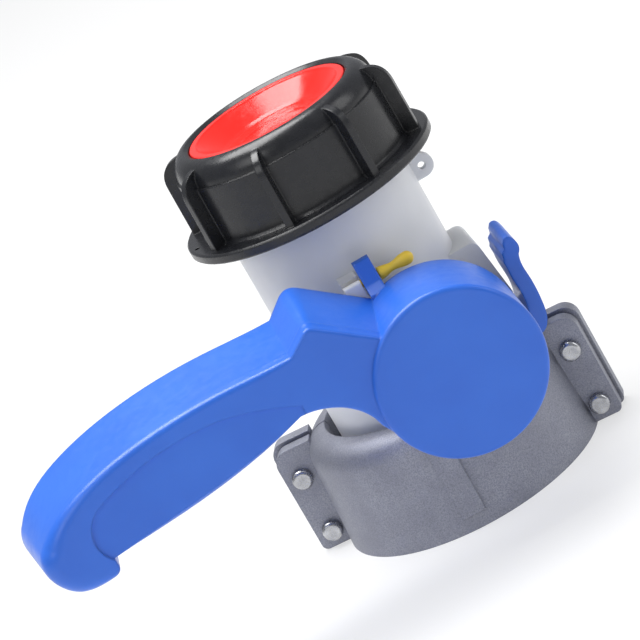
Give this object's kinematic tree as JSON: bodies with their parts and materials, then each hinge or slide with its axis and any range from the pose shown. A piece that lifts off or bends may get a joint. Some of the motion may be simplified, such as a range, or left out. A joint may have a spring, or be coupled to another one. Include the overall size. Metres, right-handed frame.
{
  "type": "ibc tank valve",
  "caption": "Butterfly valve for a bulk liquid container, with a side lever, lock pin, thumb latch, dished screw cap and split flange clamp.",
  "frame": {"origin": "centre of the clamp's base, in the plane it stands on", "axes": "+Z along the flow, from the tank towards the cap; -Y towards the lever's hub; with the valve closed the lever reaches towards -X"},
  "size_m": [0.1824, 0.119, 0.1372],
  "materials": {
    "natural_pe": "natural polyethylene, milky, fine satin surface",
    "lever_blue": "moulded blue plastic, satin gloss",
    "cap_black": "moulded black plastic, satin",
    "insert_red": "moulded red plastic, satin gloss",
    "pin_yellow": "moulded yellow plastic",
    "clamp_metal": "cast aluminium, lightly blasted",
    "zinc_steel": "zinc-plated steel",
    "spring_steel": "stainless spring steel",
    "seal_rubber": "black sealing rubber",
    "seat_rubber": "dark sealing rubber",
    "disc_plastic": "smooth white plastic",
    "bush_plastic": "smooth ivory plastic"
  },
  "bodies": {
    "housing": {"valve_body": "natural_pe", "seat_ring": "seat_rubber", "seat_retainer": "disc_plastic", "stem_bush": "bush_plastic", "rear_bush": "bush_plastic", "inlet_gasket": "seal_rubber", "clamp_front": "clamp_metal", "clamp_rear": "clamp_metal", "clamp_screws": "zinc_steel", "clamp_washers": "zinc_steel", "clamp_nuts": "zinc_steel", "latch_pin": "zinc_steel"},
    "lever": {"handle": "lever_blue", "stem": "disc_plastic", "closure_disc": "disc_plastic", "stem_o_rings": "seal_rubber", "stem_clip": "spring_steel"},
    "pin": {"lock_pin": "pin_yellow"},
    "thumb_latch": {"latch": "lever_blue"},
    "cap_inside": {"cap_insert": "insert_red", "cap_gasket": "seal_rubber"},
    "cap_outside": {"cap_ring": "cap_black"}
  },
  "joints": [
    {"name": "lever_turn", "type": "hinge", "parent": "housing", "child": "lever", "pos_m": [0.0098, -0.043, 0.057], "axis": [0, 1, 0], "range_deg": [0, 90]},
    {"name": "lock_pin_pull", "type": "slide", "parent": "lever", "child": "pin", "axis": [1, 0, 0], "range_m": [0, 0.012]},
    {"name": "latch_press", "type": "hinge", "parent": "housing", "child": "thumb_latch", "pos_m": [0.0356, -0.019, 0.0434], "axis": [0, 1, 0], "range_deg": [0, 12], "stiffness_Nm_per_rad": 0.2},
    {"name": "cap_lift", "type": "slide", "parent": "housing", "child": "cap_inside", "axis": [0, 0, 1], "range_m": [0, 0.018]},
    {"name": "cap_turn", "type": "hinge", "parent": "cap_inside", "child": "cap_outside", "pos_m": [0, 0, 0.12], "axis": [0, 0, 1], "range_deg": [0, 1080]}
  ],
  "couplings": [
    {"joint": "cap_lift", "follows": "cap_turn", "m_per_rad": 0.00095493}
  ]
}
